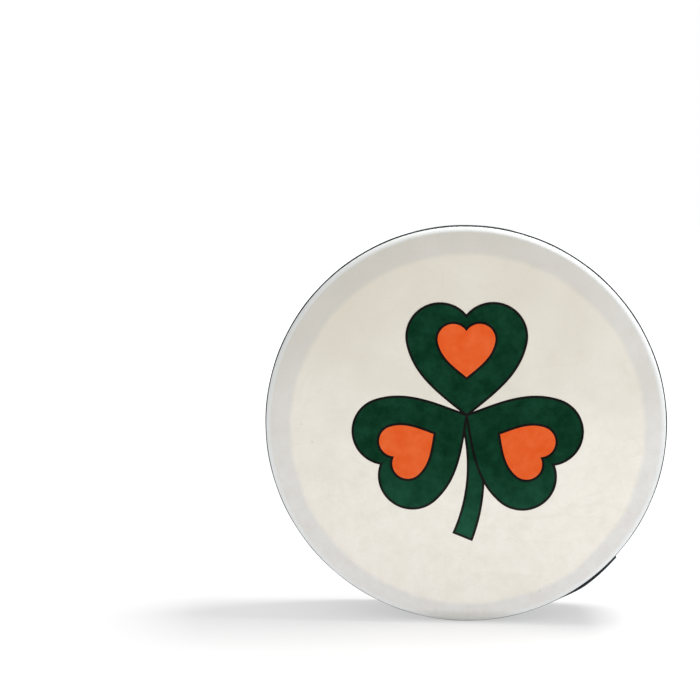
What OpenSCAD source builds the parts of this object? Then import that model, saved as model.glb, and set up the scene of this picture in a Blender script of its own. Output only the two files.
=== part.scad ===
// Bodhran: a hand-held frame drum with an internal tuning hoop.
// The drum's axis is Y. The skin faces -Y and the open back faces +Y. +Z is up.
// The origin is the middle of the crossbar, on the drum's axis.

/* [Shell] */
// Diameter over the skin at the playing edge
head_d = 457; // [420:1:480]
// Depth of the wooden shell along the drum's axis
shell_depth = 90; // [85:1:110]
// Thickness of the shell's wall
shell_wall = 11; // [9:0.5:12]
// Radius of the playing edge that the skin turns over
edge_round = 6; // [4:0.5:7]

/* [Skin and trim] */
// Thickness of the goatskin
skin_t = 0.8; // [0.5:0.1:1]
// How far the skin laps down the shell, behind the front face
skin_lap = 27; // [24:1:34]
// Where the trim strip starts, behind the front face
trim_start = 10; // [8:0.5:14]
// Width of the trim strip
trim_w = 30; // [24:1:34]
// Thickness of the trim strip over the skin
trim_t = 1.8; // [0.8:0.1:3]
// How far the lapped end of the trim strip stands out
trim_lap_t = 3; // [1:0.1:3.5]
// Number of tacks that hold the skin
tack_count = 36; // [24:1:48]

/* [Tuning hoop] */
// Thickness of the hoop across its wall
hoop_wall = 12; // [10:0.5:13]
// Depth of the hoop along the drum's axis
hoop_depth = 16; // [12:1:20]
// Gap between the hoop and the shell
hoop_gap = 0.7; // [0.5:0.1:1.5]

/* [Tuners] */
// Length of a tuning bolt under its head
bolt_length = 45; // [40:1:50]
// Distance from the back of a hoop plate to the front of a bracket
bracket_clear = 14; // [9:1:16]
// Height of a bracket's leg along the shell
bracket_leg = 32; // [28:1:36]
// Width of a bracket's leg
bracket_w = 36; // [32:1:40]

/* [Crossbar] */
// Width of the crossbar at its ends
bar_end_w = 38; // [34:1:44]
// Width of the crossbar at the grip
bar_grip_w = 27; // [24:1:32]
// Thickness of the crossbar along the drum's axis
bar_t = 16; // [12:1:18]
// How far the crossbar sits inside the shell's back edge
bar_inset = 6; // [4:1:10]

/* [Hidden] */
$fn = 180;
eps = 0.01;
skin_r = head_d / 2;
shell_r = skin_r - skin_t;
bore_r = shell_r - shell_wall;
back_y = bar_inset + bar_t / 2;
front_y = back_y - shell_depth;
edge_chamfer = 1.2;
back_round = 2.5;

hoop_r = bore_r - hoop_gap;
hoop_bore_r = hoop_r - hoop_wall;
hoop_seat = 0.2;
hoop_round = 2.5;
hoop_front_y = front_y + hoop_seat;
hoop_back_y = hoop_front_y + hoop_depth;

tuner_angles = [0, 60, 120, 180, 240, 300];
tuner_axis_r = bore_r - 9.4;
bolt_r = 2.95;
thread_r = 3;
bolt_head_r = 5;
bolt_head_h = 6;
socket_af = 5;
socket_depth = 3;
plate_t = 1.5;
plate_w = 9;
plate_l = 26;
plate_r = tuner_axis_r + 1.8;
plate_screw_step = 9;
plate_back_y = hoop_back_y + plate_t;
sheet_t = 2.5;
bend_r = 0.8;
tab_y = plate_back_y + bracket_clear;
tab_w = 20;
leg_gap = 0.15;
leg_back_r = sqrt(bore_r * bore_r - bracket_w * bracket_w / 4) - leg_gap;
leg_front_r = leg_back_r - sheet_t;
nut_af = 10;
nut_h = 5;
bracket_screw_step = 12;
bracket_screw_y = tab_y + 20;
bracket_screw_r = 1.75;
bracket_screw_l = 11;

trim_r = skin_r + trim_t;
trim_y = front_y - skin_t + trim_start;
trim_lap_end = -41;
trim_lap_start = -65;
trim_lap_swing = trim_lap_t / cos(trim_lap_start + 90 - trim_lap_end);
tack_y = front_y - skin_t + 20;

bar_screw_step = 16;
bar_screw_r = 2;
bar_screw_head_r = 4;
bar_screw_l = 34;
bar_screw_top = sqrt(shell_r * shell_r - 12 * 12) - 0.1;

// Turns a profile, drawn as radius against y, round the drum's axis.
module turned() {
    rotate([-90, 0, 0]) rotate_extrude() children();
}

// Swings its children from the +X side of the drum to an angle seen from the front.
module at_angle(angle) {
    rotate([0, -angle, 0]) children();
}

// A cylinder along +Y that starts at y = 0.
module rod_y(r, h, r2 = -1) {
    rotate([-90, 0, 0]) cylinder(r1 = r, r2 = r2 < 0 ? r : r2, h = h);
}

// A cylinder along +X that starts at x = 0.
module rod_x(r, h, r2 = -1) {
    rotate([0, 90, 0]) cylinder(r1 = r, r2 = r2 < 0 ? r : r2, h = h);
}

// Two crossed slots for a screwdriver, cut down from z = 0.
module cross_slots(size, depth) {
    for (turn = [0, 90])
        rotate(turn) translate([-size / 2, -size / 8, -depth]) cube([size, size / 4, depth + 1]);
}

// Goatskin: a flat face, a round shoulder and a lap down the outside of the shell.
module skin() color("cornsilk") turned() {
    shoulder_r = shell_r - edge_round;
    translate([0, front_y - skin_t]) square([shoulder_r, skin_t]);
    translate([shoulder_r, front_y + edge_round]) intersection() {
        difference() {
            circle(r = edge_round + skin_t);
            circle(r = edge_round);
        }
        translate([0, -edge_round - skin_t]) square(edge_round + skin_t);
    }
    translate([shell_r, front_y + edge_round])
        square([skin_t, skin_lap - edge_round - skin_t]);
}

// Shell wall with a round playing edge outside, a small chamfer inside and an eased back edge.
module shell_profile() difference() {
    translate([bore_r, front_y]) square([shell_wall, shell_depth]);
    for (y = [front_y, back_y])
        translate([bore_r, y]) rotate(45) square(edge_chamfer * sqrt(2), center = true);
    translate([shell_r - edge_round, front_y + edge_round]) mirror([0, 1]) corner_cut(edge_round);
    translate([shell_r - back_round, back_y - back_round]) corner_cut(back_round);
}

// What a round of radius r takes off a square corner that points along +X and +Y.
module corner_cut(r) {
    difference() {
        square(r + 1);
        circle(r = r);
    }
}

// Bent wooden shell with countersunk holes for the crossbar's screws.
module shell() color("black") difference() {
    turned() shell_profile();
    for (end = [90, -90], x = [-1, 1])
        at_angle(end) translate([0, 0, x * bar_screw_step / 2]) {
            translate([bore_r - 1, 0, 0]) rod_x(bar_screw_r, shell_wall + 2);
            translate([bar_screw_top - 2.4, 0, 0]) rod_x(bar_screw_r, 2.4, bar_screw_head_r);
            translate([bar_screw_top - eps, 0, 0]) rod_x(bar_screw_head_r, 2);
        }
}

// The part of a ring between two angles, as a wedge that cuts it out.
module sector_y(r, y, h, from, to) {
    translate([0, y, 0]) rotate([90, 0, 0]) mirror([0, 0, 1]) linear_extrude(h)
        polygon([[0, 0],
            [r * cos(from), r * sin(from)],
            [r * cos((from + to) / 2) * 1.1, r * sin((from + to) / 2) * 1.1],
            [r * cos(to), r * sin(to)]]);
}

// Black strip over the skin's cut edge. Its end laps over its start.
module trim_strip() color([0.1, 0.11, 0.13]) {
    swing_to = trim_lap_start + 90;
    turned() {
        difference() {
            translate([shell_r, trim_y]) square([trim_r - shell_r, trim_w]);
            translate([shell_r - 1, front_y - skin_t]) square([1 + skin_t, skin_lap]);
        }
    }
    intersection() {
        difference() {
            translate([trim_lap_swing * cos(swing_to), trim_y, trim_lap_swing * sin(swing_to)])
                rod_y(trim_r, trim_w);
            translate([0, trim_y - 1, 0]) rod_y(trim_r, trim_w + 2);
        }
        sector_y(trim_r + 20, trim_y - 1, trim_w + 2, trim_lap_start, trim_lap_end);
    }
}

// Flat-headed tacks through the skin's lap, under the trim strip.
module skin_tacks() color("silver")
    for (i = [0:tack_count - 1]) at_angle((i + 0.5) * 360 / tack_count) translate([0, tack_y, 0]) {
        translate([skin_r - 0.3, 0, 0]) rod_x(3.2, 0.8, $fn = 40);
        translate([skin_r - 9, 0, 0]) rod_x(0.3, 3, 0.7, $fn = 40);
        translate([skin_r - 6, 0, 0]) rod_x(0.7, 6, $fn = 40);
    }

// Crossbar, waisted at the grip, with ends that fit the shell's inner wall.
module crossbar() color("burlywood") intersection() {
    waist = (bar_end_w - bar_grip_w) / 2;
    reach = 120;
    waist_r = (reach * reach + waist * waist) / (2 * waist);
    translate([0, -bar_t / 2, 0]) rotate([90, 0, 0]) mirror([0, 0, 1]) linear_extrude(bar_t)
        difference() {
            square([bar_end_w, 2 * bore_r], center = true);
            for (side = [-1, 1])
                translate([side * (bar_grip_w / 2 + waist_r), 0]) circle(r = waist_r, $fn = 360);
        }
    translate([0, -bar_t, 0]) rod_y(bore_r, 2 * bar_t);
}

// Four countersunk wood screws, through the shell into the ends of the crossbar.
module crossbar_screws() color("silver")
    for (end = [90, -90], x = [-1, 1])
        at_angle(end) translate([bar_screw_top, 0, x * bar_screw_step / 2]) difference() {
            union() {
                translate([-2.4, 0, 0]) rod_x(bar_screw_r, 2.4, bar_screw_head_r);
                translate([4 - bar_screw_l, 0, 0]) rod_x(bar_screw_r, bar_screw_l - 4);
                translate([-bar_screw_l, 0, 0]) rod_x(0.3, 4 + eps, bar_screw_r);
            }
            rotate([0, 90, 0]) cross_slots(4.4, 1.6);
        }

// Wooden tuning hoop that presses the skin from inside, with a rounded front edge.
module tuning_hoop() color("tan") difference() {
    turned() {
        difference() {
            translate([hoop_bore_r, hoop_front_y]) square([hoop_wall, hoop_depth]);
            for (x = [hoop_bore_r - eps, hoop_r - hoop_round])
                translate([x, hoop_front_y - eps]) square(hoop_round + eps);
        }
        for (x = [hoop_bore_r + hoop_round, hoop_r - hoop_round])
            translate([x, hoop_front_y + hoop_round]) circle(r = hoop_round);
    }
    for (angle = tuner_angles, z = [-1, 1])
        at_angle(angle) translate([plate_r, hoop_back_y - 8, z * plate_screw_step])
            rod_y(1, 8 + eps, $fn = 40);
}

// Steel plate on the back of the hoop, where a bolt's tip pushes.
module hoop_plate(i) color("gainsboro") at_angle(tuner_angles[i]) difference() {
    translate([plate_r - plate_w / 2, hoop_back_y, -plate_l / 2]) cube([plate_w, plate_t, plate_l]);
    for (z = [-1, 1]) translate([plate_r, hoop_back_y, z * plate_screw_step])
        translate([0, -eps, 0]) rod_y(1.2, plate_t + 2 * eps, 2.4, $fn = 40);
}

// Two small countersunk screws for each hoop plate.
module hoop_plate_screws() color("gray")
    for (angle = tuner_angles, z = [-1, 1])
        at_angle(angle) translate([plate_r, hoop_back_y, z * plate_screw_step]) difference() {
            union() {
                translate([0, 0.2, 0]) rod_y(1.3, plate_t - 0.4, 2.25, $fn = 40);
                translate([0, -6, 0]) rod_y(1, 6.3, $fn = 40);
                translate([0, -7.6, 0]) rod_y(0.2, 1.6 + eps, 1, $fn = 40);
            }
            translate([0, plate_t - 0.2, 0]) rotate([-90, 0, 0]) cross_slots(2.4, 0.7);
        }

// Bent steel bracket: a leg against the shell and a tab that carries the nut.
module tuner_bracket(i) color("gainsboro") at_angle(tuner_angles[i]) difference() {
    union() {
        translate([leg_front_r, tab_y + sheet_t + bend_r, -bracket_w / 2])
            cube([sheet_t, bracket_leg - sheet_t - bend_r, bracket_w]);
        translate([0, tab_y, 0]) linear_bend();
        translate([tuner_axis_r, tab_y, -tab_w / 2])
            cube([leg_front_r - bend_r - tuner_axis_r, sheet_t, tab_w]);
        translate([tuner_axis_r, tab_y, 0]) intersection() {
            rod_y(tab_w / 2, sheet_t);
            translate([-tab_w, 0, -tab_w / 2]) cube([tab_w + eps, sheet_t, tab_w]);
        }
    }
    translate([tuner_axis_r, tab_y - 1, 0]) rod_y(thread_r + 0.2, sheet_t + 2);
    for (z = [-1, 1]) translate([leg_front_r - 1, bracket_screw_y, z * bracket_screw_step])
        rod_x(bracket_screw_r + 0.15, sheet_t + 2, $fn = 60);
    for (z = [-1, 1]) translate([leg_front_r - 1, tab_y + bracket_leg, z * bracket_w / 2])
        rotate([z * 45, 0, 0]) translate([0, -2.5, -2.5]) cube([sheet_t + 2, 5, 5]);
}

// The bend between leg and tab, as wide as the tab at its foot and the leg at its top.
module linear_bend() {
    outer = bend_r + sheet_t;
    translate([leg_front_r - bend_r, outer, -bracket_w / 2]) intersection() {
        difference() {
            cylinder(r = outer, h = bracket_w, $fn = 60);
            translate([0, 0, -1]) cylinder(r = bend_r, h = bracket_w + 2, $fn = 60);
        }
        translate([0, -outer - 1, 0]) cube([outer + 1, outer + 1, bracket_w]);
    }
}

// Hexagon nut welded behind the bracket's tab.
module tuner_nut(i) color("silver") at_angle(tuner_angles[i])
    translate([tuner_axis_r, tab_y + sheet_t, 0]) difference() {
        intersection() {
            rotate([-90, 0, 0]) rotate(30) cylinder(r = nut_af / sqrt(3), h = nut_h, $fn = 6);
            union() {
                rod_y(nut_af / sqrt(3) + 0.1, nut_h - 1);
                translate([0, nut_h - 1, 0]) rod_y(nut_af / sqrt(3) + 0.1, 1, nut_af / 2 - 0.2);
            }
        }
        translate([0, -1, 0]) rod_y(thread_r, nut_h + 2);
    }

// Two pan-headed wood screws for each bracket, into the shell.
module bracket_screws() color("silver")
    for (angle = tuner_angles, z = [-1, 1])
        at_angle(angle) translate([leg_front_r, bracket_screw_y, z * bracket_screw_step])
            difference() {
                union() {
                    translate([-1.1, 0, 0]) rod_x(3.3, 1.1, $fn = 60);
                    translate([-2.1, 0, 0]) rod_x(2.2, 1, 3.3, $fn = 60);
                    rod_x(bracket_screw_r, bracket_screw_l - 3, $fn = 60);
                    translate([bracket_screw_l - 3, 0, 0]) rod_x(bracket_screw_r, 3, 0.2, $fn = 60);
                }
                translate([-2.1, 0, 0]) rotate([0, -90, 0]) cross_slots(3.4, 1.3);
            }

// Tuning bolt with a hexagon socket, whose tip rests on a hoop plate.
module tuning_bolt(i) color("dimgray") at_angle(tuner_angles[i])
    translate([tuner_axis_r, plate_back_y, 0]) difference() {
        union() {
            rod_y(bolt_r - 0.8, 0.8 + eps, bolt_r);
            translate([0, 0.8, 0]) rod_y(bolt_r, bolt_length - 0.8);
            translate([0, bolt_length, 0]) rod_y(bolt_head_r, bolt_head_h - 0.6);
            translate([0, bolt_length + bolt_head_h - 0.6 - eps, 0])
                rod_y(bolt_head_r, 0.6 + eps, bolt_head_r - 0.6);
        }
        translate([0, bolt_length + bolt_head_h - socket_depth, 0]) rotate([-90, 0, 0])
            cylinder(r = socket_af / sqrt(3), h = socket_depth + 1, $fn = 6);
    }

skin();
shell();
trim_strip();
skin_tacks();
crossbar();
crossbar_screws();
tuning_hoop();
hoop_plate_screws();
bracket_screws();
for (i = [0:len(tuner_angles) - 1]) {
    hoop_plate(i);
    tuner_bracket(i);
    tuner_nut(i);
    tuning_bolt(i);
}
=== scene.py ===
"""A bodhran: a goatskin frame drum with an inner tuning hoop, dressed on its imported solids.

Lengths in the piece functions are in millimetres, in the drum's own frame: the drum's axis is Y,
the skin faces -Y, +Z is up, and the origin is the middle of the crossbar. Angles are seen from
the skin's side, 0 towards +X and 90 towards +Z. Lengths in the finishes are in metres.
"""

import bmesh
import bpy
import numpy as np
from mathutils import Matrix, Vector


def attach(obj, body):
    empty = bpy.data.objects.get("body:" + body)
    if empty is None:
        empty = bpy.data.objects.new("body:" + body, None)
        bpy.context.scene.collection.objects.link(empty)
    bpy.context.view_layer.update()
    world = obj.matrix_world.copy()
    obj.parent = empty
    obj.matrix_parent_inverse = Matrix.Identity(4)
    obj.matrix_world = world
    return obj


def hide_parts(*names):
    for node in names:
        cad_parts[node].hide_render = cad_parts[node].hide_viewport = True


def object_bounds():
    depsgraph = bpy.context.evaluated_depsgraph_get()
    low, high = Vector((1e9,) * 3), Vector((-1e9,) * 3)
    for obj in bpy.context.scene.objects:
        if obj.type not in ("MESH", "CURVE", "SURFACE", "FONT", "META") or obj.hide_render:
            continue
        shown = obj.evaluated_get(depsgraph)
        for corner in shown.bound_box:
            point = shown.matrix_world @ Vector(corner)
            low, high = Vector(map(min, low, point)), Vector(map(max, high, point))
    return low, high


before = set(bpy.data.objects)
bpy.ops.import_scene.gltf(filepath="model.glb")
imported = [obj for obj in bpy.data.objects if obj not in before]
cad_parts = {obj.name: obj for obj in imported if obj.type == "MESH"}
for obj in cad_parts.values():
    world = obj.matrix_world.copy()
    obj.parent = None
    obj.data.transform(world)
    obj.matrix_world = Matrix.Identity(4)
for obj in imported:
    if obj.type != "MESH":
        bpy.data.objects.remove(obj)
cad_low, cad_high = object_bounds()

MM = 0.001
TURN = 2 * np.pi

SKIN_R = 228.5          # outside of the skin's lap
SKIN_T = 0.8            # thickness of the skin
SHELL_R = SKIN_R - SKIN_T
BORE_R = 216.7          # inside of the shell
FRONT_Y = -76.8         # face of the skin
EDGE_R = 6.0            # round of the playing edge
LAP_Y = FRONT_Y + 27    # where the skin's lap ends
GATHER = 0.25           # how deep the lap's folds are
FILM_ROOT = 0.03        # how far the print's films reach into the skin

TRIM_Y = FRONT_Y + 10   # front edge of the trim strip
TRIM_W = 30.0
TRIM_T = 1.8
TRIM_FIT = 0.03         # how far the strip stands off what it lies on
TRIM_END_T = 0.2        # thinnest part of the strip's start
LAP_T = 3.0             # how far the strip's lapped end stands out
LAP_FROM, LAP_TO = -65.0, -41.0

BAR_END_W, BAR_GRIP_W, BAR_T = 38.0, 27.0, 16.0
WAIST_Z = 120.0         # how far up and down the crossbar's waist reaches

AXIS_R = BORE_R - 9.4   # the tuning bolts' axes
PLATE_Y = -58.3         # where the bolts' tips rest
TAB_Y = PLATE_Y + 14    # where the nuts sit on the brackets
TUNER_ANGLES = (0, 60, 120, 180, 240, 300)
PITCH = 1.0
SHANK_R, SHANK_L, THREAD_L = 2.9, 45.0, 38.0
HEAD_R, HEAD_L = 5.0, 6.0
SOCKET_AF, SOCKET_L = 5.0, 3.0


# ---------------------------------------------------------------- camera, light and floor

def aim_camera(azimuth=0.3, elevation=9.3, distance=1.45, lens=64.7, place=(0.1617, -0.1099)):
    """A camera round the skin's middle, turned so that the middle falls at a place in the frame.

    The place is how far right of the frame's middle and above it, in widths of the frame.
    """
    a, e = np.radians(azimuth), np.radians(elevation)
    middle = Vector((0, (FRONT_Y + 3) * MM, 0))
    back = Vector((np.sin(a) * np.cos(e), -np.cos(a) * np.cos(e), np.sin(e)))
    camera = bpy.data.objects.new("camera", bpy.data.cameras.new("camera"))
    bpy.context.scene.collection.objects.link(camera)
    camera.data.sensor_width = 36
    camera.data.lens = lens
    camera.location = middle + back * distance
    camera.rotation_mode = "QUATERNION"
    ahead = Vector((0, 0, -1))
    aside = Vector((*place, -lens / camera.data.sensor_width)).normalized()
    camera.rotation_quaternion = (-back).to_track_quat("-Z", "Y") @ aside.rotation_difference(ahead)
    bpy.context.scene.camera = camera


def soft_light(name, at, size, watts):
    """A square lamp with soft edges, facing the drum."""
    lamp = bpy.data.lights.new(name, "AREA")
    lamp.size, lamp.energy = size, watts
    thing = bpy.data.objects.new(name, lamp)
    thing.location = at
    thing.rotation_euler = (-Vector(at)).to_track_quat("-Z", "Y").to_euler()
    bpy.context.scene.collection.objects.link(thing)


def light_studio():
    """A surround that is white at eye level and dimmer overhead, a lamp above and a weak one in front."""
    world = bpy.data.worlds.new("surround")
    world.use_nodes = True
    tree = world.node_tree
    outwards = put(tree, "ShaderNodeTexCoord").outputs["Generated"]
    rise = put(tree, "ShaderNodeSeparateXYZ", {"Vector": outwards}).outputs["Z"]
    strength = between(tree, rise, 0.2, 0.5, 1.0, 0.55, soft=True)
    tree.links.new(strength, tree.nodes["Background"].inputs["Strength"])
    tree.nodes["Background"].inputs["Color"].default_value = (1, 1, 1, 1)
    bpy.context.scene.world = world
    bpy.context.scene.view_settings.view_transform = "Standard"
    soft_light("top_light", (0.75, 0.2, 1.8), 0.8, 44)
    soft_light("key_light", (1.3, -1.5, 0.0), 1.2, 2.5)


def make_floor():
    """A wide, flat, pale floor under the rim. It glows far away, so that it meets the surround unseen."""
    reach = np.linspace(-60000, 60000, 3)
    x, y = np.meshgrid(reach, reach)
    points = np.stack([x, y, np.full(x.shape, cad_low.z / MM)], axis=-1)
    made, tree, shader = material("pale floor", Roughness=0.85, Specular_IOR_Level=0.1,
                                  Base_Color=(0.45, 0.45, 0.45, 1), Emission_Color=(1, 1, 1, 1))
    away = put(tree, "ShaderNodeVectorMath", {0: spot(tree)}, operation="LENGTH").outputs["Value"]
    glow = between(tree, away, 0.4, 3.0, 0.5, 1, soft=True)
    tree.links.new(glow, shader.inputs["Emission Strength"])
    floor = surface("floor", points, made, keep_open=True)


# ---------------------------------------------------------------- meshes from arrays

def surface(name, points, finish, around=False, keep_open=False, crease=35):
    """Quads over an array of points [u, v] in millimetres, with v joined round on itself if around.

    Points that meet are merged, so that poles and seams close, and faces are turned outwards.
    """
    points = np.asarray(points, float)
    rows, cols = points.shape[:2]
    index = np.arange(rows * cols).reshape(rows, cols)
    if around:
        index = np.concatenate([index, index[:, :1]], axis=1)
    corners = [index[:-1, :-1], index[:-1, 1:], index[1:, 1:], index[1:, :-1]]
    quads = np.stack(corners, axis=-1).reshape(-1, 4)
    mesh = bpy.data.meshes.new(name)
    mesh.vertices.add(rows * cols)
    mesh.vertices.foreach_set("co", (points * MM).reshape(-1))
    mesh.loops.add(quads.size)
    mesh.loops.foreach_set("vertex_index", quads.reshape(-1).astype(np.int32))
    mesh.polygons.add(len(quads))
    mesh.polygons.foreach_set("loop_start", np.arange(0, quads.size, 4, dtype=np.int32))
    mesh.update(calc_edges=True)
    close_up(mesh, keep_open)
    mesh.shade_smooth()
    mesh.set_sharp_from_angle(angle=np.radians(crease))
    mesh.materials.append(finish)
    thing = bpy.data.objects.new(name, mesh)
    bpy.context.scene.collection.objects.link(thing)
    return thing


def close_up(mesh, keep_open=False):
    """Merges points that meet, drops faces with no area and turns closed shells outwards."""
    work = bmesh.new()
    work.from_mesh(mesh)
    bmesh.ops.remove_doubles(work, verts=work.verts, dist=2e-6)
    bmesh.ops.dissolve_degenerate(work, dist=1e-7, edges=work.edges)
    if not keep_open:
        bmesh.ops.recalc_face_normals(work, faces=work.faces)
    work.to_mesh(mesh)
    work.free()


def joined(name, things):
    """Several meshes as one piece."""
    work = bmesh.new()
    for thing in things:
        work.from_mesh(thing.data)
    first = things[0]
    for thing in things[1:]:
        bpy.data.objects.remove(thing)
    work.to_mesh(first.data)
    work.free()
    first.data.set_sharp_from_angle(angle=np.radians(35))
    first.name = first.data.name = name
    return first


def eased(node, width, finish, name):
    """A copy of a CAD node with its flat faces made whole and its edges eased by a small bevel."""
    thing = bpy.data.objects.new(name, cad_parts[node].data.copy())
    thing.matrix_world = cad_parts[node].matrix_world
    bpy.context.scene.collection.objects.link(thing)
    work = bmesh.new()
    work.from_mesh(thing.data)
    bmesh.ops.remove_doubles(work, verts=work.verts, dist=2e-6)
    bmesh.ops.dissolve_limit(work, angle_limit=np.radians(1), verts=work.verts, edges=work.edges)
    work.to_mesh(thing.data)
    work.free()
    sharp = np.radians(40)
    thing.data.shade_smooth()
    thing.data.set_sharp_from_angle(angle=sharp)
    thing.data.materials.clear()
    thing.data.materials.append(finish)
    bevel = thing.modifiers.new("eased edges", "BEVEL")
    bevel.width, bevel.segments = width * MM, 2
    bevel.limit_method, bevel.angle_limit = "ANGLE", sharp
    bevel.harden_normals = True
    return thing


def paint(node, finish):
    """Gives a CAD node a finish in place of its plain colour."""
    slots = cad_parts[node].data.materials
    slots.clear()
    slots.append(finish)


def turned(profile, steps):
    """The points [along profile, round] of a profile of (radius, y), turned round the drum's axis."""
    profile = np.asarray(profile, float)
    angle = np.arange(steps) / steps * TURN
    r, y = profile[:, :1], profile[:, 1:]
    return np.stack([r * np.cos(angle), y + 0 * angle, r * np.sin(angle)], axis=-1)


def stacked(rows, steps):
    """Points [row, round] of rings along Y, each a radius and a height that may vary with the angle."""
    a = np.arange(steps) / steps * TURN
    return np.stack([np.stack([r * np.cos(a), h + 0 * a, r * np.sin(a)], axis=-1) for r, h in rows])


def arc(centre, radius, start, end, steps):
    """Points on an arc of a circle, from one angle to another, in degrees."""
    angle = np.radians(np.linspace(start, end, steps))
    return np.stack([centre[0] + radius * np.cos(angle), centre[1] + radius * np.sin(angle)], axis=-1)


def s_curve(value, start, end):
    """0 before start, 1 after end, and an even S curve between."""
    share = np.clip((value - start) / (end - start), 0, 1)
    return share * share * (3 - 2 * share)


def capped(loops):
    """A tube's loops [along, round] with each end closed on the middle of its last loop."""
    ends = [loops[i].mean(axis=0)[None, None].repeat(loops.shape[1], axis=1) for i in (0, -1)]
    return np.concatenate([ends[0], loops, ends[1]])


def at_tuner(points, angle):
    """Points drawn at the +X tuner, swung round the drum's axis to another tuner."""
    a = np.radians(angle)
    x, y, z = np.moveaxis(np.asarray(points, float), -1, 0)
    return np.stack([x * np.cos(a) - z * np.sin(a), y, x * np.sin(a) + z * np.cos(a)], axis=-1)


# ---------------------------------------------------------------- finishes

def put(tree, kind, inputs=None, **settings):
    """Adds a node, gives it its settings, and sets or links its inputs."""
    made = tree.nodes.new(kind)
    for name, value in settings.items():
        setattr(made, name, value)
    for name, value in (inputs or {}).items():
        give(tree, made.inputs[name], value)
    return made


def give(tree, socket, value):
    """Links a socket to another one, or sets it to a constant."""
    if isinstance(value, bpy.types.NodeSocket):
        tree.links.new(value, socket)
    else:
        socket.default_value = value


def material(name, **constants):
    """A new material, its shader's constants set, its tree and its shader."""
    made = bpy.data.materials.new(name)
    made.use_nodes = True
    shader = made.node_tree.nodes["Principled BSDF"]
    for socket, value in constants.items():
        shader.inputs[socket.replace("_", " ")].default_value = value
    return made, made.node_tree, shader


def tone(red, green, blue):
    """A colour given in the 0 to 255 steps of a paint chart, as linear light."""
    c = np.array([red, green, blue]) / 255
    return (*np.where(c <= 0.04045, c / 12.92, ((c + 0.055) / 1.055) ** 2.4), 1)


def spot(tree, scale=(1, 1, 1), shift=(0, 0, 0)):
    """The piece's own coordinates in metres, stretched along each axis and shifted."""
    place = put(tree, "ShaderNodeTexCoord").outputs["Object"]
    return stretched(tree, place, scale, shift)


def stretched(tree, where, scale, shift=(0, 0, 0)):
    """Coordinates stretched along each axis and shifted."""
    inputs = {"Vector": where, "Scale": scale, "Location": shift}
    return put(tree, "ShaderNodeMapping", inputs).outputs["Vector"]


def ring_spot(tree, scale=(1, 1, 1)):
    """Coordinates that follow the drum's rings: arc length, depth and radius. They part at the bottom."""
    apart = put(tree, "ShaderNodeSeparateXYZ", {"Vector": spot(tree)}).outputs
    length = times(tree, step(tree, "ARCTAN2", apart["X"], apart["Z"]), SKIN_R * MM)
    together = put(tree, "ShaderNodeCombineXYZ", {"X": length, "Y": apart["Y"], "Z": radius(tree)})
    return stretched(tree, together.outputs["Vector"], scale)


def radius(tree, shift=(0, 0, 0)):
    """Distance from the drum's axis, or from a line beside it."""
    flat = spot(tree, (1, 0, 1), shift)
    return put(tree, "ShaderNodeVectorMath", {0: flat}, operation="LENGTH").outputs["Value"]


def step(tree, operation, a, b=0.0):
    """One step of arithmetic on two values."""
    return put(tree, "ShaderNodeMath", {0: a, 1: b}, operation=operation).outputs["Value"]


def plus(tree, a, b):
    return step(tree, "ADD", a, b)


def minus(tree, a, b):
    return step(tree, "SUBTRACT", a, b)


def times(tree, a, b):
    return step(tree, "MULTIPLY", a, b)


def noise(tree, where, scale, detail=4.0, rough=0.55, distortion=0.0):
    """Cloudy noise, 0 to 1, with a feature about 1/scale metres across."""
    inputs = {"Vector": where, "Scale": scale, "Detail": detail, "Roughness": rough,
              "Distortion": distortion}
    return put(tree, "ShaderNodeTexNoise", inputs).outputs["Fac"]


def bands(tree, where, scale, direction, **more):
    """Parallel bands, 0 to 1, across one direction of the coordinates."""
    inputs = {name.replace("_", " "): value for name, value in more.items()}
    inputs.update({"Vector": where, "Scale": scale})
    made = put(tree, "ShaderNodeTexWave", inputs, wave_type="BANDS", bands_direction=direction)
    return made.outputs["Fac"]


def cells(tree, where, scale):
    """Distance from the nearest of many scattered points, in cells 1/scale metres across."""
    return put(tree, "ShaderNodeTexVoronoi", {"Vector": where, "Scale": scale}).outputs["Distance"]


def between(tree, value, low, high, to_low=0.0, to_high=1.0, soft=False):
    """A value's share of the way from low to high, as a number from to_low to to_high."""
    inputs = {"Value": value, "From Min": low, "From Max": high, "To Min": to_low, "To Max": to_high}
    kind = "SMOOTHSTEP" if soft else "LINEAR"
    return put(tree, "ShaderNodeMapRange", inputs, interpolation_type=kind).outputs["Result"]


def blend(tree, share, a, b, kind="MIX"):
    """Colour a turned into colour b by a share."""
    made = put(tree, "ShaderNodeMix", {"Factor": share}, data_type="RGBA", blend_type=kind)
    give(tree, made.inputs[6], a)
    give(tree, made.inputs[7], b)
    return made.outputs[2]


def either(tree, share, a, b):
    """Value a turned into value b by a share."""
    return put(tree, "ShaderNodeMix", {"Factor": share, 2: a, 3: b}, data_type="FLOAT").outputs[0]


def finish_with(tree, shader, colour, roughness, height, strength, depth):
    """Links a shader's colour and roughness, and its bump from a height over a depth in millimetres."""
    tree.links.new(colour, shader.inputs["Base Color"])
    tree.links.new(roughness, shader.inputs["Roughness"])
    bump = put(tree, "ShaderNodeBump", {"Height": height, "Strength": strength, "Distance": depth * MM})
    tree.links.new(bump.outputs["Normal"], shader.inputs["Normal"])


def hide_fibre(tree):
    """Short fine fibres lying across the hide."""
    return noise(tree, spot(tree, (1, 1, 2.2)), 420, 5, 0.6, 0.4)


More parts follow.
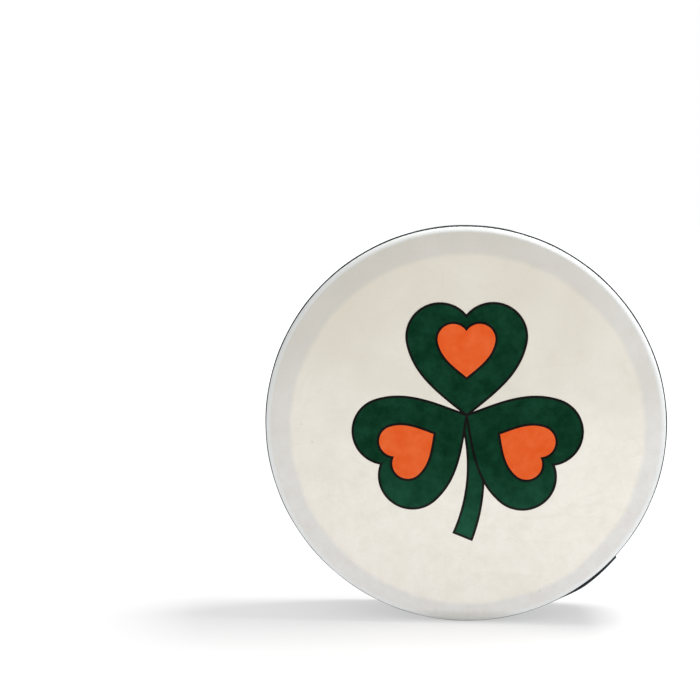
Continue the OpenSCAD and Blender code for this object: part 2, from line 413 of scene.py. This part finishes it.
def goatskin():
    """Pale cream hide with a cloudy tone, faint veins and pores. Painted shade makes it darker and yellower
    towards the top left, greys a ring where wood backs it and keeps light from passing through, and darkens
    the rim along the bottom, where it stands on the ground. A painted highlight lightens the rounded edge."""
    made, tree, shader = material("goatskin", Specular_IOR_Level=0.3, Sheen_Weight=0.03)
    where = spot(tree)
    apart = put(tree, "ShaderNodeSeparateXYZ", {"Vector": where}).outputs
    cloud = noise(tree, where, 7, 3)
    mottle = noise(tree, where, 70, 6, 0.62)
    fibre = hide_fibre(tree)

    # painted shade: darker and yellower towards the top left, as the light falls, broken up by cloudy tone
    shade_ramp = minus(tree, apart["Z"], times(tree, apart["X"], 0.35))
    shade_ramp = plus(tree, shade_ramp, times(tree, minus(tree, cloud, 0.5), 0.4))
    top_left_shade = between(tree, shade_ramp, -0.12, 0.24, 0, 1, soft=True)
    base = blend(tree, top_left_shade, tone(243, 239, 230), tone(214, 209, 194))
    base = blend(tree, between(tree, mottle, 0.36, 0.7, 0, 0.3), base, tone(222, 215, 202))
    base = blend(tree, between(tree, fibre, 0.42, 0.7, 0, 0.16), base, tone(210, 204, 192))
    vein = step(tree, "ABSOLUTE", minus(tree, noise(tree, where, 11, 2, 0.5, 1.2), 0.5))
    base = blend(tree, between(tree, vein, 0.012, 0.0, 0, 0.06, soft=True), base, tone(196, 180, 158))
    pore = between(tree, cells(tree, where, 330), 0.16, 0.02, 0, 0.12)
    base = blend(tree, pore, base, tone(176, 160, 138))
    fleck = between(tree, cells(tree, where, 24), 0.04, 0.02, 0, 0.25, soft=True)
    base = blend(tree, fleck, base, tone(172, 150, 120))

    wander = times(tree, minus(tree, noise(tree, where, 26, 2), 0.5), 0.006)
    # painted shade: a greyer ring where the wood behind the skin keeps light from passing through
    ring = plus(tree, radius(tree, (-0.0025, 0, 0.0045)), wander)
    backing_shade = between(tree, ring, 0.1985, 0.2055, 0, 1, soft=True)
    base = blend(tree, backing_shade, base, (0.88, 0.895, 0.95, 1), "MULTIPLY")
    # painted highlight: the rounded edge turns a pale bluish white
    rounded = between(tree, radius(tree), 0.2215, 0.2245, 0, 0.6, soft=True)
    base = blend(tree, rounded, base, tone(226, 231, 233))
    # painted shade: the rim darkens towards the bottom, where it stands on the ground
    bottom_shade = between(tree, plus(tree, apart["Z"], wander), -0.2145, -0.2285)
    base = blend(tree, bottom_shade, base, (0.62, 0.61, 0.57, 1), "MULTIPLY")

    height = plus(tree, times(tree, mottle, 0.6), fibre)
    finish_with(tree, shader, base, between(tree, mottle, 0.3, 0.7, 0.52, 0.68), height, 0.35, 0.25)
    return made


def ink(name, colour, faded):
    """Printed ink that has sunk into the hide: its tone is uneven, the hide's fibres show in it, and it is
    paler low down."""
    made, tree, shader = material(name, Specular_IOR_Level=0.04)
    where = spot(tree)
    mottle = noise(tree, where, 60, 6, 0.65)
    fibre = hide_fibre(tree)
    base = blend(tree, between(tree, mottle, 0.38, 0.72, 0, 0.42), colour, faded)
    base = blend(tree, between(tree, fibre, 0.5, 0.8, 0, 0.3), base, faded)
    level = put(tree, "ShaderNodeSeparateXYZ", {"Vector": where}).outputs["Z"]
    # paler towards the bottom, more so where the mottle is high
    low_down = between(tree, level, -0.03, -0.14, 0, 1, soft=True)
    paler_low = times(tree, low_down, between(tree, mottle, 0.3, 0.6, 0.5, 1))
    base = blend(tree, paler_low, base, faded)
    height = plus(tree, times(tree, mottle, 0.6), fibre)
    finish_with(tree, shader, base, between(tree, fibre, 0.3, 0.7, 0.42, 0.58), height, 0.3, 0.2)
    return made


def woven_tape():
    """Blue-black woven strip: fine slanting ribs crossed by picks, slightly faded on top of each rib."""
    made, tree, shader = material("woven tape", Specular_IOR_Level=0.25, Sheen_Weight=0.05)
    slanted, square = ring_spot(tree, (1, 0.6, 0)), ring_spot(tree, (1, 1, 0))
    ribs = bands(tree, slanted, 260, "DIAGONAL", Distortion=0.6, Detail=2.0, Detail_Scale=3.0)
    picks = bands(tree, square, 430, "Y", Distortion=0.4)
    weave = times(tree, ribs, plus(tree, picks, 0.6))
    worn = noise(tree, spot(tree), 30, 5)
    base = blend(tree, between(tree, weave, 0, 1.4), tone(29, 34, 38), tone(62, 70, 75))
    base = blend(tree, between(tree, worn, 0.45, 0.75, 0, 0.3), base, tone(66, 74, 80))
    finish_with(tree, shader, base, between(tree, weave, 0, 1.4, 0.85, 0.62), weave, 0.6, 0.18)
    return made


def grain(tree, where, pale, dark, rings):
    """Wood colour, height and fibre along the third axis: growth rings, fine fibres and short dark pores."""
    bend = stretched(tree, where, (1, 1, 0.05))
    band = bands(tree, bend, rings, "X", Distortion=9.0, Detail=4.0, Detail_Scale=1.6, Detail_Roughness=0.65)
    fibre = noise(tree, stretched(tree, where, (1, 1, 0.02)), 900, 4, 0.6)
    figure = noise(tree, bend, 120, 4, 0.6)
    slow = noise(tree, where, 9, 3)
    pore = between(tree, noise(tree, stretched(tree, where, (1, 1, 0.06)), 1500, 2, 0.5), 0.62, 0.74)
    colour = blend(tree, between(tree, band, 0.1, 0.95, 0, 0.4), pale, dark)
    colour = blend(tree, between(tree, figure, 0.4, 0.7, 0, 0.4), colour, dark)
    colour = blend(tree, between(tree, fibre, 0.4, 0.75, 0, 0.45), colour, dark)
    colour = blend(tree, between(tree, slow, 0.35, 0.7, 0, 0.3), colour, pale)
    dim = (*(0.45 * value for value in dark[:3]), 1)
    colour = blend(tree, times(tree, pore, 0.5), colour, dim)
    height = minus(tree, times(tree, fibre, 0.8), times(tree, pore, 0.6))
    return colour, height, fibre


def bar_wood():
    """Oiled hardwood, its grain along the crossbar."""
    made, tree, shader = material("oiled bar wood", Coat_Weight=0.2, Coat_Roughness=0.35)
    colour, height, fibre = grain(tree, spot(tree), tone(196, 152, 100), tone(150, 102, 58), 26)
    finish_with(tree, shader, colour, between(tree, fibre, 0.3, 0.7, 0.42, 0.56), height, 0.35, 0.12)
    return made


def bent_grain(tree, pale, dark, scarf):
    """Grain along the drum's rings, with the thin slanting line of a glued scarf joint at an arc length
    from the top."""
    apart = put(tree, "ShaderNodeSeparateXYZ", {"Vector": ring_spot(tree)}).outputs
    along, depth = apart["X"], apart["Y"]
    swapped = put(tree, "ShaderNodeCombineXYZ", {"X": depth, "Y": apart["Z"], "Z": along}).outputs["Vector"]
    colour, height, fibre = grain(tree, swapped, pale, dark, 22)
    off = minus(tree, plus(tree, along, times(tree, depth, 0.8)), scarf)
    line = between(tree, step(tree, "ABSOLUTE", off), 0.0006, 0.0002, 0, 0.7, soft=True)
    return blend(tree, line, colour, tone(72, 46, 28)), height, fibre


def hoop_wood():
    """Sanded, unfinished wood of the tuning hoop."""
    made, tree, shader = material("sanded hoop wood")
    colour, height, fibre = bent_grain(tree, tone(214, 180, 130), tone(176, 134, 84), 0.42)
    finish_with(tree, shader, colour, between(tree, fibre, 0.3, 0.7, 0.6, 0.75), height, 0.4, 0.15)
    return made


def shell_wood():
    """Black lacquer outside and on the back edge, clear-coated wood inside, and a ragged border between."""
    made, tree, shader = material("lacquered shell", Specular_IOR_Level=0.35)
    colour, height, fibre = bent_grain(tree, tone(188, 140, 90), tone(146, 96, 54), -0.48)
    ragged = times(tree, noise(tree, spot(tree), 300, 3), 0.0006)
    painted = between(tree, plus(tree, radius(tree), ragged), 0.2172, 0.2175)
    dust = noise(tree, spot(tree), 45, 6, 0.7)
    black = blend(tree, between(tree, dust, 0.5, 0.8, 0, 0.4), tone(9, 9, 11), tone(26, 26, 29))
    peel = times(tree, noise(tree, spot(tree), 260, 2), 0.5)
    coat_rough = between(tree, fibre, 0.3, 0.7, 0.38, 0.52)
    black_rough = between(tree, dust, 0.4, 0.8, 0.18, 0.34)
    base, rough = blend(tree, painted, colour, black), either(tree, painted, coat_rough, black_rough)
    finish_with(tree, shader, base, rough, either(tree, painted, height, peel), 0.25, 0.15)
    return made


def steel(name, colour, stain, low, high, streak=(1, 1, 1), fineness=700):
    """Plated steel: faint stains, fine rubbed lines, and gloss that varies with them."""
    made, tree, shader = material(name, Metallic=1.0)
    cloud = noise(tree, spot(tree), 90, 5, 0.6)
    lines = noise(tree, spot(tree, streak), fineness, 4, 0.7)
    base = blend(tree, between(tree, cloud, 0.42, 0.7, 0, 0.7), (*colour, 1), (*stain, 1))
    gloss = plus(tree, times(tree, cloud, 0.5), times(tree, lines, 0.5))
    finish_with(tree, shader, base, between(tree, gloss, 0.35, 0.65, low, high), lines, 0.15, 0.05)
    return made


# ---------------------------------------------------------------- the skin and its print

def make_skin(finish):
    """The hide as one closed shell turned round the drum's axis.

    Its profile runs from the middle of the face over a quarter round of radius EDGE_R + SKIN_T,
    down the lap to its cut edge, and back inside. The lap is gathered: its outside moves in by
    GATHER times the positive part of a sum of two sines of the angle, growing down the lap.
    """
    steps = 720
    shoulder = (SHELL_R - EDGE_R, FRONT_Y + SKIN_T + EDGE_R)
    face = [(r, FRONT_Y) for r in (*np.linspace(0, 200, 26), *np.linspace(203, 218, 6))]
    lap = [(SKIN_R, y) for y in np.linspace(shoulder[1] + 2, LAP_Y - 0.3, 6)]
    edge = [(SKIN_R - 0.25, LAP_Y), (SHELL_R, LAP_Y)]
    back = [(r, FRONT_Y + SKIN_T) for r in (214, 200, 120, 0)]
    outside = np.concatenate([face, arc(shoulder, EDGE_R + SKIN_T, -90, 0, 14), lap, edge[:1]])
    inside = np.concatenate([edge[1:], [(SHELL_R, shoulder[1] + 1)], arc(shoulder, EDGE_R, 0, -90, 10), back])
    points = turned(np.concatenate([outside, inside]), steps)
    angle = np.arange(steps) / steps * TURN
    fold = np.maximum(0, np.sin(61 * angle + 0.7) + 0.8 * np.sin(37 * angle + 2.1) - 0.9)
    depth = np.clip((points[..., 1] - shoulder[1] + 2) / 12, 0, 1)
    depth[len(outside):] = 0
    points[..., (0, 2)] *= (1 - GATHER * depth * fold / SKIN_R)[..., None]
    skin = surface("goatskin_head", points, finish, around=True, crease=50)
    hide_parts("skin")
    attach(skin, "drum")


def heart(tip, lobe_x, lobe_z, lobe_r, leave, join, grow=0.0):
    """The outline of a plain heart along +x: two circles, and a cubic curve from its tip to each.

    The curve leaves the tip at one angle and meets the circle's tangent at another. grow moves
    the whole outline out along its normals by that much.
    """
    leave, join = np.radians(leave), np.radians(join)
    out, into = np.array([np.cos(leave), np.sin(leave)]), np.array([np.cos(join), np.sin(join)])
    start, end = np.array([tip, 0]), np.array([lobe_x, lobe_z]) + lobe_r * np.array([-into[1], into[0]])
    pull = 0.36 * np.hypot(*(end - start))
    one, two = start + pull * out, end - pull * into
    t = np.linspace(0, 1, 32, endpoint=False)[:, None]
    curve = (1 - t) ** 3 * start + 3 * (1 - t) ** 2 * t * one + 3 * (1 - t) * t ** 2 * two + t ** 3 * end
    slope = 3 * (1 - t) ** 2 * (one - start) + 6 * (1 - t) * t * (two - one) + 3 * t ** 2 * (end - two)
    normal = np.stack([-slope[:, 1], slope[:, 0]], axis=-1) / np.hypot(*slope.T)[:, None]
    side = curve + grow * normal
    side[0] = tip - grow / np.sin(leave), 0
    side = side[(side[:, 1] > 0) | (np.arange(len(side)) == 0)]
    notch = -np.degrees(np.arcsin(lobe_z / (lobe_r + grow)))
    lobe = arc((lobe_x, lobe_z), lobe_r + grow, 90 + np.degrees(join), notch, 56)
    half = np.concatenate([side, lobe])
    return np.concatenate([half, half[-2:0:-1] * (1, -1)])


def film(outline, middle, height, finish):
    """A closed thin patch on the skin: straight lines from a middle point to an outline, and its rim down
    into the skin."""
    outline, middle = np.asarray(outline), np.asarray(middle)
    share = np.array([0, 0.25, 0.5, 0.75, 1, 1, 0.5, 0])[:, None, None]
    flat = middle + (outline - middle) * share
    lift = np.full(flat.shape[:2], float(height))
    lift[5:] = -FILM_ROOT
    points = np.stack([flat[..., 0], FRONT_Y - lift, flat[..., 1]], axis=-1)
    return surface("film", points, finish, around=True)


def stem(root, grow, height, finish):
    """A film along an arc of a circle down from a root, its width growing evenly to its square end."""
    bend_r, first, swing = 206, -72, -40
    share = np.linspace(0, 1, 60)
    heading = np.radians(first + swing * share)
    ahead = np.stack([np.cos(heading), np.sin(heading)], axis=-1)
    side = np.stack([-np.sin(heading), np.cos(heading)], axis=-1)
    path = root + bend_r * (side - side[0])
    path[-1] += ahead[-1] * grow
    narrow, widening = 7, 4
    half = (narrow + widening * share + grow)[:, None]
    edges = np.stack([path - side * half, path + side * half], axis=1)
    top = np.stack([edges[..., 0], np.full(edges.shape[:2], FRONT_Y - height), edges[..., 1]], axis=-1)
    low = top[:, ::-1] + (0, height + FILM_ROOT, 0)
    return surface("film", capped(np.concatenate([top, low], axis=1)), finish, around=True)


def swung(points, angle, centre):
    """Flat points turned by an angle about the origin and moved to a centre."""
    a = np.radians(angle)
    turn = np.array([[np.cos(a), np.sin(a)], [-np.sin(a), np.cos(a)]])
    return np.asarray(points, float) @ turn + centre


def make_print(green, orange, black):
    """A plain upright clover: three equal green hearts a third of a turn apart, each with a heart of half
    its size in orange, on a short curved stem.

    Every shape has a thin black edge, and the films lie one over the next.
    """
    centre = np.array([4.0, 14.0])
    line = 1.4
    leaf = dict(tip=0, lobe_x=90, lobe_z=30, lobe_r=38, leave=50, join=12)
    core = dict(tip=42, lobe_x=87, lobe_z=15, lobe_r=19, leave=50, join=12)
    films = {"black": [stem(centre, line, 0.05, black)],
             "green": [stem(centre, -line, 0.08, green)],
             "orange": []}
    layers = (("black", black, leaf, line), ("green", green, leaf, -line),
              ("black", black, core, line), ("orange", orange, core, -line))
    lowest, layer_t = 0.11, 0.03
    for order, angle in enumerate((210, 330, 90)):
        for layer, (kind, finish, shape, grow) in enumerate(layers, len(layers) * order):
            outline = swung(heart(**shape, grow=grow), angle, centre)
            middle = swung([shape["lobe_x"] - 6, 0], angle, centre)
            films[kind].append(film(outline, middle, lowest + layer_t * layer, finish))

    for kind, patches in films.items():
        piece = joined(f"print_{kind}", patches)
        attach(piece, "drum")


# ---------------------------------------------------------------- trim, bar and hardware

def make_trim(finish):
    """The strip as one ribbon that runs a turn and a bit round the drum and laps over its own start.

    Its section is a rectangle with rounded corners. Its inner side follows the skin's lap, then
    the shell. The lapped stretch climbs by an S curve of the angle until it clears the start
    under it, and its pressed end is thinner. The start under it fills what the climb leaves.
    """
    lap = LAP_TO - LAP_FROM
    angle = np.concatenate([np.linspace(0, lap, 40, endpoint=False),
                            np.linspace(lap, 360, 360, endpoint=False), np.linspace(360, 360 + lap, 60)])
    under, over = angle < lap, angle >= 360
    share = angle % 360 / lap
    climb = LAP_T * s_curve(share, 0.1, 0.5)
    settle = over * s_curve(share, 0.5, 1)
    sunk, thinned, gap = 0.8, 0.3, 0.05
    lift = over * climb - sunk * settle
    thick = np.where(under, np.clip(climb - gap, TRIM_END_T, TRIM_T), TRIM_T - thinned * settle)

    # The section's first coordinate is a share of the thickness, its second the place across the width.
    edge = 0.35
    run = np.linspace(edge, TRIM_W - edge, 9)[1:-1]
    section = np.concatenate([
        arc((1 - edge, edge), edge, -90, 0, 4), np.stack([run * 0 + 1, run], axis=-1),
        arc((1 - edge, TRIM_W - edge), edge, 0, 90, 4), arc((edge, TRIM_W - edge), edge, 90, 180, 4),
        np.stack([run * 0, run[::-1]], axis=-1), arc((edge, edge), edge, 180, 270, 4)])
    level, y = section[:, 0], TRIM_Y + section[:, 1]
    outer = level > 0.5
    on_skin = np.clip((LAP_Y + 1.2 - y) / 1.6, 0, 1)
    seat = SHELL_R + TRIM_FIT + SKIN_T * np.where(outer, 0.7 + 0.3 * on_skin, on_skin)
    ripple = 0.08 * np.sin(np.radians(angle) * 23)[:, None] * outer
    r = seat + lift[:, None] + thick[:, None] * level + ripple
    a = np.radians(LAP_FROM + angle)[:, None]
    points = np.stack([r * np.cos(a), np.broadcast_to(y, r.shape), r * np.sin(a)], axis=-1)
    trim = surface("trim_strip_lapped", capped(points), finish, around=True, crease=50)
    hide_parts("trim_strip")
    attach(trim, "drum")


def make_crossbar(finish):
    """A bar along Z, its ends cut to the shell's bore.

    Its section is a rounded rectangle whose width follows the arcs of the waist and whose corners
    are rounder at the grip. Each point's height is a share of the height of the bore above it.
    """
    near_end = 0.985
    share = np.concatenate([np.linspace(-1, -near_end, 3, endpoint=False),
                            np.linspace(-near_end, near_end, 121), np.linspace(near_end, 1, 4)[1:]])
    z = np.abs(share * BORE_R)
    waist = (BAR_END_W - BAR_GRIP_W) / 2
    bend_r = (WAIST_Z ** 2 + waist ** 2) / (2 * waist)
    half = BAR_GRIP_W / 2 + bend_r - np.sqrt(bend_r ** 2 - np.minimum(z, WAIST_Z) ** 2)
    end_corner, grip_corner = 2.0, 5.5
    soft = end_corner + (grip_corner - end_corner) * s_curve(z, 125, 85)
    corners = []
    for right, back, first in ((1, 1, 0), (-1, 1, 90), (-1, -1, 180), (1, -1, 270)):
        turn = np.radians(np.linspace(first, first + 90, 9))
        corners.append(np.stack([right * (half - soft)[:, None] + soft[:, None] * np.cos(turn),
                                 back * (BAR_T / 2 - soft)[:, None] + soft[:, None] * np.sin(turn)], axis=-1))
    flat = np.concatenate(corners, axis=1)

    def on_bore(section, part):
        """A section's points, each at a part of the bore's height above it."""
        height = part * np.sqrt(BORE_R ** 2 - section[..., 0] ** 2)
        return np.concatenate([section, height[..., None]], axis=-1)

    foot, head = [np.stack([on_bore(flat[i] * inset, share[i]) for inset in (0.0, 0.5)]) for i in (0, -1)]
    points = np.concatenate([foot, on_bore(flat, share[:, None]), head[::-1]])
    bar = surface("crossbar_shaped", points, finish, around=True)
    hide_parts("crossbar")
    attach(bar, "drum")


def make_bolt(number, angle, finish):
    """An M6 socket-head bolt along +Y from its tip.

    The thread's radius is its root plus a clipped triangle wave of the height and the angle, one
    turn to a pitch, with a pointed tip and a run-out into the plain shank. The head's side is
    knurled by 40 shallow waves, and its socket is the radius of a hexagon.
    """
    steps = 40
    round_share = np.arange(steps) / steps
    y = np.linspace(0, THREAD_L, 305)[:, None]
    wave = np.abs((y / PITCH + round_share) % 1.0 * 2 - 1)
    root_r, crest_r, tip_r, tip_l = 2.42, 2.95, 2.15, 1.2
    thread = root_r + (crest_r - root_r) * np.clip(wave * 1.35 - 0.12, 0, 1)
    thread = np.minimum(thread, tip_r + (crest_r - tip_r) * np.clip(y / tip_l, 0, 1))
    thread = SHANK_R + (thread - SHANK_R) * np.clip((THREAD_L - y) * 2, 0, 1)
    tip = [(0.0, 0.0), (1.4, 0.0)]
    neck_r, neck_y = SHANK_R + 0.3, SHANK_L + 0.2
    neck = [(SHANK_R, THREAD_L + 0.2), (SHANK_R, SHANK_L - 0.4), (neck_r, SHANK_L), (neck_r, neck_y),
            (0.0, neck_y)]
    place = (AXIS_R, PLATE_Y, 0)
    points = stacked([*tip, *zip(thread, y[:, 0]), *neck], steps) + place
    shank = surface("shank", at_tuner(points, angle), finish, around=True)

    steps, knurls, groove = 160, 40, 0.14
    a = np.arange(steps) / steps * TURN
    ridge = HEAD_R - groove * (0.5 + 0.5 * np.cos(knurls * a))
    hexagon = SOCKET_AF / 2 / np.cos((a % (TURN / 6)) - TURN / 12)
    top = SHANK_L + HEAD_L
    floor = top - SOCKET_L
    seat = [(0.0, SHANK_L), (2.0, SHANK_L), (4.7, SHANK_L)]
    side = [(np.minimum(ridge, 4.95), SHANK_L + 0.3), (ridge, SHANK_L + 0.6), (ridge, top - 1.2),
            (np.minimum(ridge, 4.9), top - 0.7), (4.45, top - 0.1), (4.2, top)]
    socket = [(hexagon + 0.25, top), (hexagon, top - 0.2), (hexagon, floor + 0.1), (hexagon * 0.96, floor),
              (hexagon * 0.3, floor - 0.25), (0.0, floor - 0.3)]
    points = stacked([*seat, *side, *socket], steps) + place
    cap = surface("cap", at_tuner(points, angle), finish, around=True)
    bolt = joined(f"socket_bolt_{number}", [shank, cap])
    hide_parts(f"tuning_bolt_{number}")
    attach(bolt, f"tuning_bolt_{number}")


def make_weld(number, angle, finish):
    """Two short weld beads where a nut's flats meet its bracket: arcs of a ring, rippled, with round ends."""
    steps, bead_r, ring_r = 30, 0.9, 5.15
    along = np.linspace(-1, 1, steps)
    ripple = 1 + 0.14 * np.cos(np.linspace(0, 5 * TURN, steps))
    swell = (bead_r * np.sqrt(1 - along ** 2) * ripple)[:, None]
    ring = np.linspace(0, TURN, 12, endpoint=False)
    beads = []
    for middle in (90, -90):
        turn = np.radians(middle + 24 * along)[:, None]
        r = ring_r + swell * np.cos(ring)
        y = TAB_Y + 2.5 + swell * np.sin(ring)
        points = np.stack([AXIS_R + r * np.cos(turn), y, r * np.sin(turn)], axis=-1)
        beads.append(surface("bead", at_tuner(points, angle), finish, around=True))
    weld = joined(f"weld_{number}", beads)
    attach(weld, "drum")


# ---------------------------------------------------------------- the drum

aim_camera()
light_studio()
make_floor()

zinc = steel("bright zinc", (0.60, 0.61, 0.64), (0.50, 0.52, 0.50), 0.24, 0.4, (1, 6, 1))
screw_zinc = steel("zinc screws", (0.58, 0.58, 0.58), (0.47, 0.45, 0.40), 0.26, 0.42)
black_oxide = steel("black oxide", (0.055, 0.055, 0.06), (0.10, 0.09, 0.085), 0.3, 0.46, (1, 4, 1))
raw_weld = steel("weld", (0.34, 0.34, 0.36), (0.22, 0.19, 0.17), 0.35, 0.5, fineness=1500)

make_skin(goatskin())
make_print(green=ink("green ink", tone(0, 44, 23), tone(30, 84, 62)),
           orange=ink("orange ink", tone(226, 88, 32), tone(240, 124, 72)),
           black=ink("black ink", tone(12, 13, 13), tone(36, 36, 33)))
make_trim(woven_tape())
make_crossbar(bar_wood())
paint("shell", shell_wood())
paint("tuning_hoop", hoop_wood())
for fasteners in ("skin_tacks", "crossbar_screws", "hoop_plate_screws", "bracket_screws"):
    paint(fasteners, screw_zinc)
plated = (("tuner_bracket", "drum", 0.35), ("tuner_nut", "drum", 0.2), ("hoop_plate", "tuning_hoop", 0.2))
for number, angle in enumerate(TUNER_ANGLES, 1):
    make_bolt(number, angle, black_oxide)
    make_weld(number, angle, raw_weld)
    for part, body, width in plated:
        piece = eased(f"{part}_{number}", width, zinc, f"{part}_eased_{number}")
        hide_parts(f"{part}_{number}")
        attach(piece, body)
